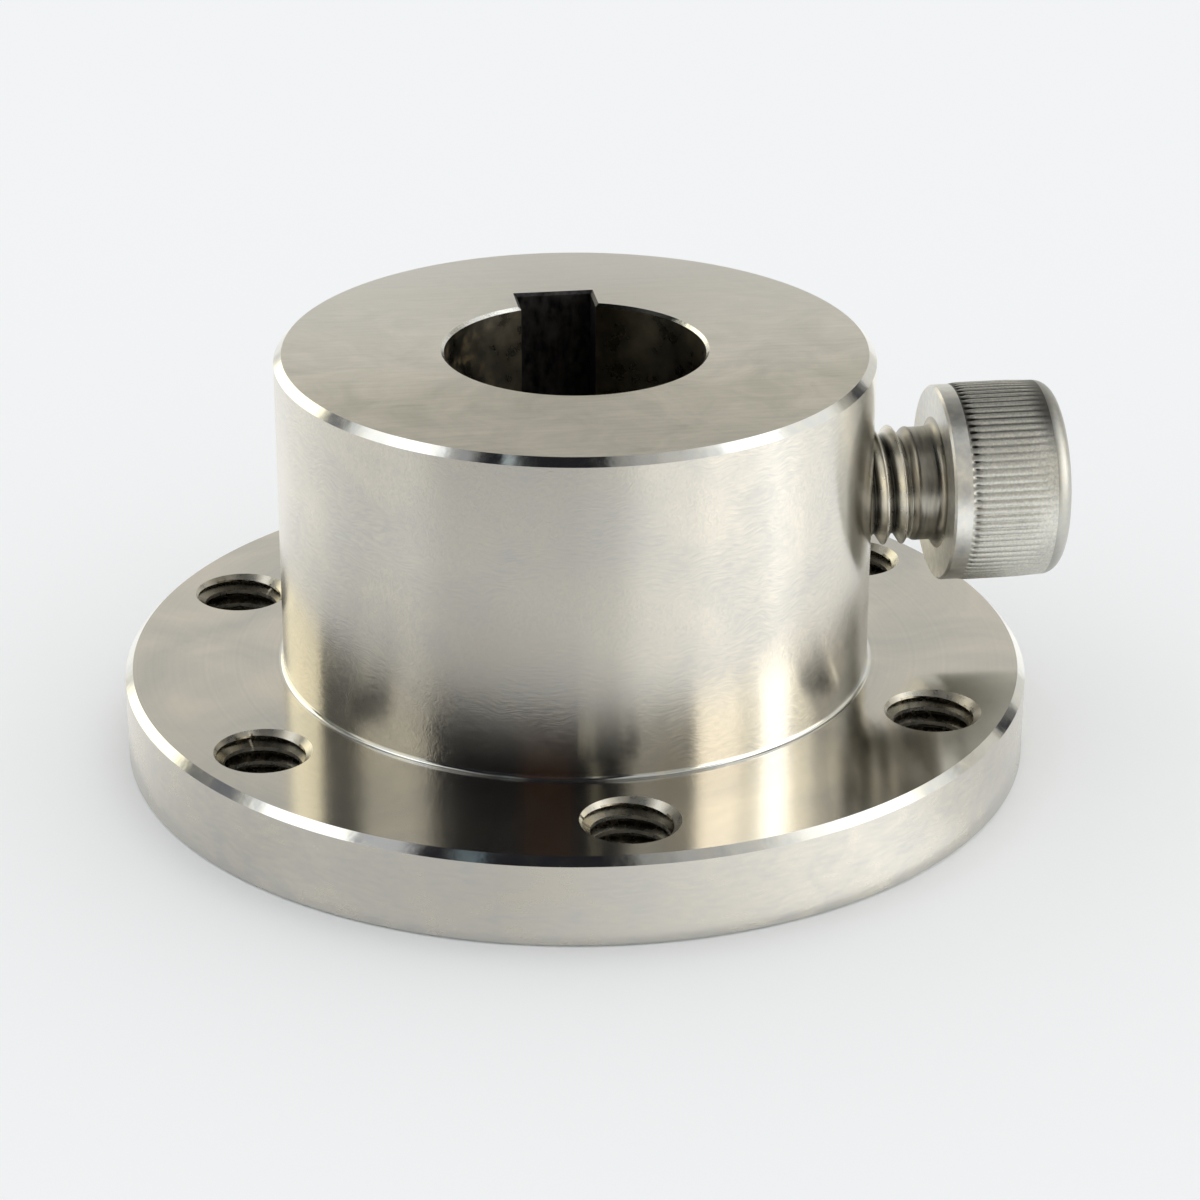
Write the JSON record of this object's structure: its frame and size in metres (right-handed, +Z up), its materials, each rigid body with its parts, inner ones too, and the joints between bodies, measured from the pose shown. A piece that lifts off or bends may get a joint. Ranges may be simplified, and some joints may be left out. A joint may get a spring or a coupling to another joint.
{
  "type": "keyed hub",
  "caption": "Flanged steel shaft hub with a keyed bore, a ring of tapped flange holes and a knurled-head lock screw in its barrel.",
  "frame": {"origin": "centre of the bore on the underside of the flange", "axes": "+Z up the bore towards the barrel's end, +X along the lock screw, +Y towards the keyway"},
  "size_m": [0.0621, 0.06, 0.0275],
  "materials": {
    "hub_steel": "fine turned, with bright cut chamfers",
    "screw_steel": "satin, rolled knurl"
  },
  "bodies": {
    "hub": {"hub": "hub_steel"},
    "lock_screw": {"lock_screw": "screw_steel"}
  },
  "joints": [
    {"name": "lock_screw_travel", "type": "slide", "parent": "hub", "child": "lock_screw", "axis": [1, 0, 0], "range_m": [-0.0045, 0.006]}
  ]
}
